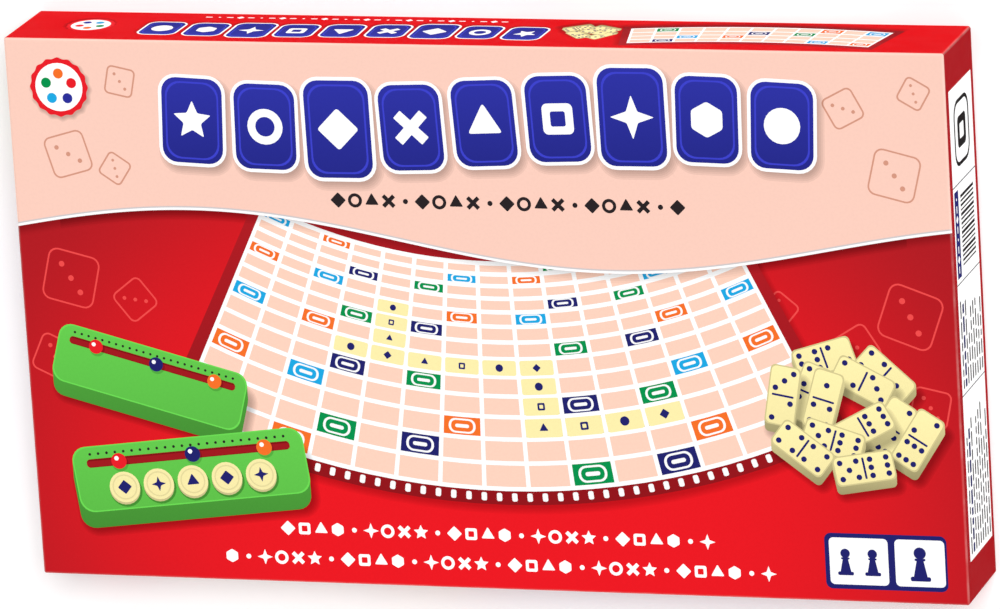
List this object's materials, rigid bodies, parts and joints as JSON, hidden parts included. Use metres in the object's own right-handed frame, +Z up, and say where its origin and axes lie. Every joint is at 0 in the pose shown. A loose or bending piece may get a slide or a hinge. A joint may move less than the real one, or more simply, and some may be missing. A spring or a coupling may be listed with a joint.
{
  "type": "boxed word board game",
  "caption": "Flat lidded card game box, holding a revolving square word-game board, letter racks with sliding score pointers, letter tiles and a leaflet in formed trays.",
  "frame": {"origin": "centre of the box's underside, on the surface it stands on", "axes": "+X along the box's length, to the right of its lid print; +Y towards the top of the lid print; +Z up, out of the lid"},
  "size_m": [0.42, 0.2434, 0.048],
  "materials": {
    "greyboard": "raw grey chipboard, smooth pressed face",
    "printed_paper": "printed litho paper with a gloss film",
    "base_paper": "plain dark red printed paper with a gloss film",
    "formed_tray": "vacuum-formed white sheet, soft gloss",
    "board_red": "moulded, satin gloss",
    "board_print": "printed card, satin varnish",
    "board_white": "moulded, satin gloss",
    "turntable_grey": "moulded, fine spark texture",
    "glide_white": "low-friction strip, smooth",
    "foot_rubber": "matt",
    "pin_black": "moulded",
    "rack_green": "moulded, gloss",
    "pointer_red": "moulded, gloss",
    "tile_cream": "moulded, satin gloss",
    "leaflet_paper": "uncoated folded sheet"
  },
  "bodies": {
    "root": {"base_shell": "greyboard", "base_cover_paper": "base_paper", "base_bottom_sheet": "base_paper", "board_tray": "formed_tray", "parts_tray": "formed_tray", "board_plate": "board_red", "board_card": "board_print", "board_grid": "board_white", "pivot_pin": "pin_black", "letter_tiles": "tile_cream", "rules_leaflet": "leaflet_paper", "rack_1": "rack_green", "rack_2": "rack_green", "rack_3": "rack_green", "rack_4": "rack_green"},
    "lid": {"lid_shell": "greyboard", "lid_cover_paper": "printed_paper"},
    "turntable": {"turntable_disc": "turntable_grey", "turntable_glide_pads": "glide_white", "turntable_feet": "foot_rubber"},
    "rack_1_pointer_units": {"rack_1_pointer_units": "pointer_red"},
    "rack_1_pointer_tens": {"rack_1_pointer_tens": "pointer_red"},
    "rack_1_pointer_hundreds": {"rack_1_pointer_hundreds": "pointer_red"},
    "rack_2_pointer_units": {"rack_2_pointer_units": "pointer_red"},
    "rack_2_pointer_tens": {"rack_2_pointer_tens": "pointer_red"},
    "rack_2_pointer_hundreds": {"rack_2_pointer_hundreds": "pointer_red"},
    "rack_3_pointer_units": {"rack_3_pointer_units": "pointer_red"},
    "rack_3_pointer_tens": {"rack_3_pointer_tens": "pointer_red"},
    "rack_3_pointer_hundreds": {"rack_3_pointer_hundreds": "pointer_red"},
    "rack_4_pointer_units": {"rack_4_pointer_units": "pointer_red"},
    "rack_4_pointer_tens": {"rack_4_pointer_tens": "pointer_red"},
    "rack_4_pointer_hundreds": {"rack_4_pointer_hundreds": "pointer_red"}
  },
  "joints": [
    {"name": "lid_lift", "type": "slide", "parent": "root", "child": "lid", "axis": [0, 0, 1], "range_m": [0, 0.2]},
    {"name": "board_spin", "type": "hinge", "parent": "root", "child": "turntable", "pos_m": [-0.08825, 0, 0.02915], "axis": [0, 0, 1], "continuous": true},
    {"name": "rack_1_units_slide", "type": "slide", "parent": "root", "child": "rack_1_pointer_units", "axis": [1, 0, 0], "range_m": [-0.0029, 0.0232]},
    {"name": "rack_1_tens_slide", "type": "slide", "parent": "root", "child": "rack_1_pointer_tens", "axis": [1, 0, 0], "range_m": [-0.0029, 0.0232]},
    {"name": "rack_1_hundreds_slide", "type": "slide", "parent": "root", "child": "rack_1_pointer_hundreds", "axis": [1, 0, 0], "range_m": [-0.0058, 0.0203]},
    {"name": "rack_2_units_slide", "type": "slide", "parent": "root", "child": "rack_2_pointer_units", "axis": [1, 0, 0], "range_m": [-0.0029, 0.0232]},
    {"name": "rack_2_tens_slide", "type": "slide", "parent": "root", "child": "rack_2_pointer_tens", "axis": [1, 0, 0], "range_m": [-0.0029, 0.0232]},
    {"name": "rack_2_hundreds_slide", "type": "slide", "parent": "root", "child": "rack_2_pointer_hundreds", "axis": [1, 0, 0], "range_m": [-0.0058, 0.0203]},
    {"name": "rack_3_units_slide", "type": "slide", "parent": "root", "child": "rack_3_pointer_units", "axis": [1, 0, 0], "range_m": [-0.0029, 0.0232]},
    {"name": "rack_3_tens_slide", "type": "slide", "parent": "root", "child": "rack_3_pointer_tens", "axis": [1, 0, 0], "range_m": [-0.0029, 0.0232]},
    {"name": "rack_3_hundreds_slide", "type": "slide", "parent": "root", "child": "rack_3_pointer_hundreds", "axis": [1, 0, 0], "range_m": [-0.0058, 0.0203]},
    {"name": "rack_4_units_slide", "type": "slide", "parent": "root", "child": "rack_4_pointer_units", "axis": [1, 0, 0], "range_m": [-0.0029, 0.0232]},
    {"name": "rack_4_tens_slide", "type": "slide", "parent": "root", "child": "rack_4_pointer_tens", "axis": [1, 0, 0], "range_m": [-0.0029, 0.0232]},
    {"name": "rack_4_hundreds_slide", "type": "slide", "parent": "root", "child": "rack_4_pointer_hundreds", "axis": [1, 0, 0], "range_m": [-0.0058, 0.0203]}
  ]
}
